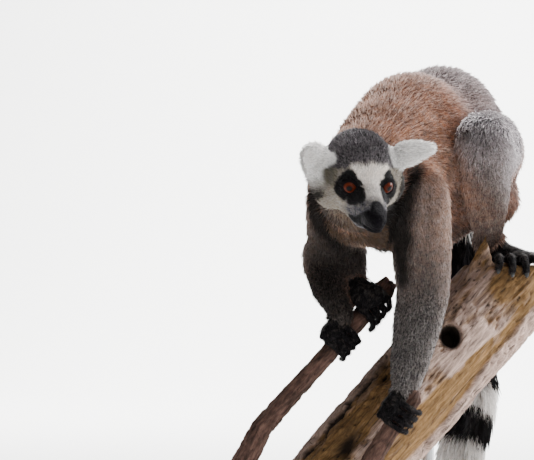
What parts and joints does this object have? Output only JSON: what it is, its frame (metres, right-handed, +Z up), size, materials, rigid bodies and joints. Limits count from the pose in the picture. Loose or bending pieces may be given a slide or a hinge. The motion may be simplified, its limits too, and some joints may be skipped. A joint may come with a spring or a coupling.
{
  "type": "ring-tailed lemur model",
  "caption": "Life-size ring-tailed lemur standing head down on a forked piece of driftwood, tail hanging behind, on a flat display stand with short rods.",
  "frame": {"origin": "centre of the underside of the stand's base, on the surface it stands on", "axes": "+Z up; -Y the way the animal's trunk faces; +X the animal's left side"},
  "size_m": [0.36, 0.487, 0.5563],
  "materials": {
    "fur_back": "matte rufous-brown fur",
    "fur_grey": "matte grey fur",
    "fur_pale": "matte cream fur",
    "fur_cap": "matte dark grey fur, cream on the face",
    "fur_white": "matte white fur",
    "fur_black": "matte black fur",
    "skin_black": "bare black skin, slightly moist on the nose",
    "eye": "glossy orange-red iris with a black pupil",
    "wood_pale": "weathered bare driftwood, dry",
    "wood_bark": "dark brown stick, dry",
    "stand_wood": "dark stained board, satin",
    "steel": "brushed steel rod"
  },
  "bodies": {
    "root": {"back": "fur_back", "chest": "fur_back", "ear_left": "fur_white", "ear_right": "fur_white", "eye_left": "eye", "eye_right": "eye", "foot_left": "skin_black", "foot_right": "skin_black", "forearm_left": "fur_grey", "forearm_right": "fur_grey", "hand_left": "skin_black", "hand_right": "skin_black", "head": "fur_cap", "muzzle": "skin_black", "neck": "fur_pale", "perch_branch": "wood_bark", "perch_log": "wood_pale", "perch_splinter": "wood_pale", "perch_stake": "wood_bark", "rump": "fur_grey", "shank_left": "fur_grey", "shank_right": "fur_grey", "stand_base": "stand_wood", "stand_rod_back": "steel", "stand_rod_front": "steel", "tail_1": "fur_white", "tail_2": "fur_black", "tail_3": "fur_white", "tail_4": "fur_black", "tail_5": "fur_white", "tail_6": "fur_black", "thigh_left": "fur_grey", "thigh_right": "fur_grey", "upper_arm_left": "fur_back", "upper_arm_right": "fur_back"}
  },
  "joints": []
}
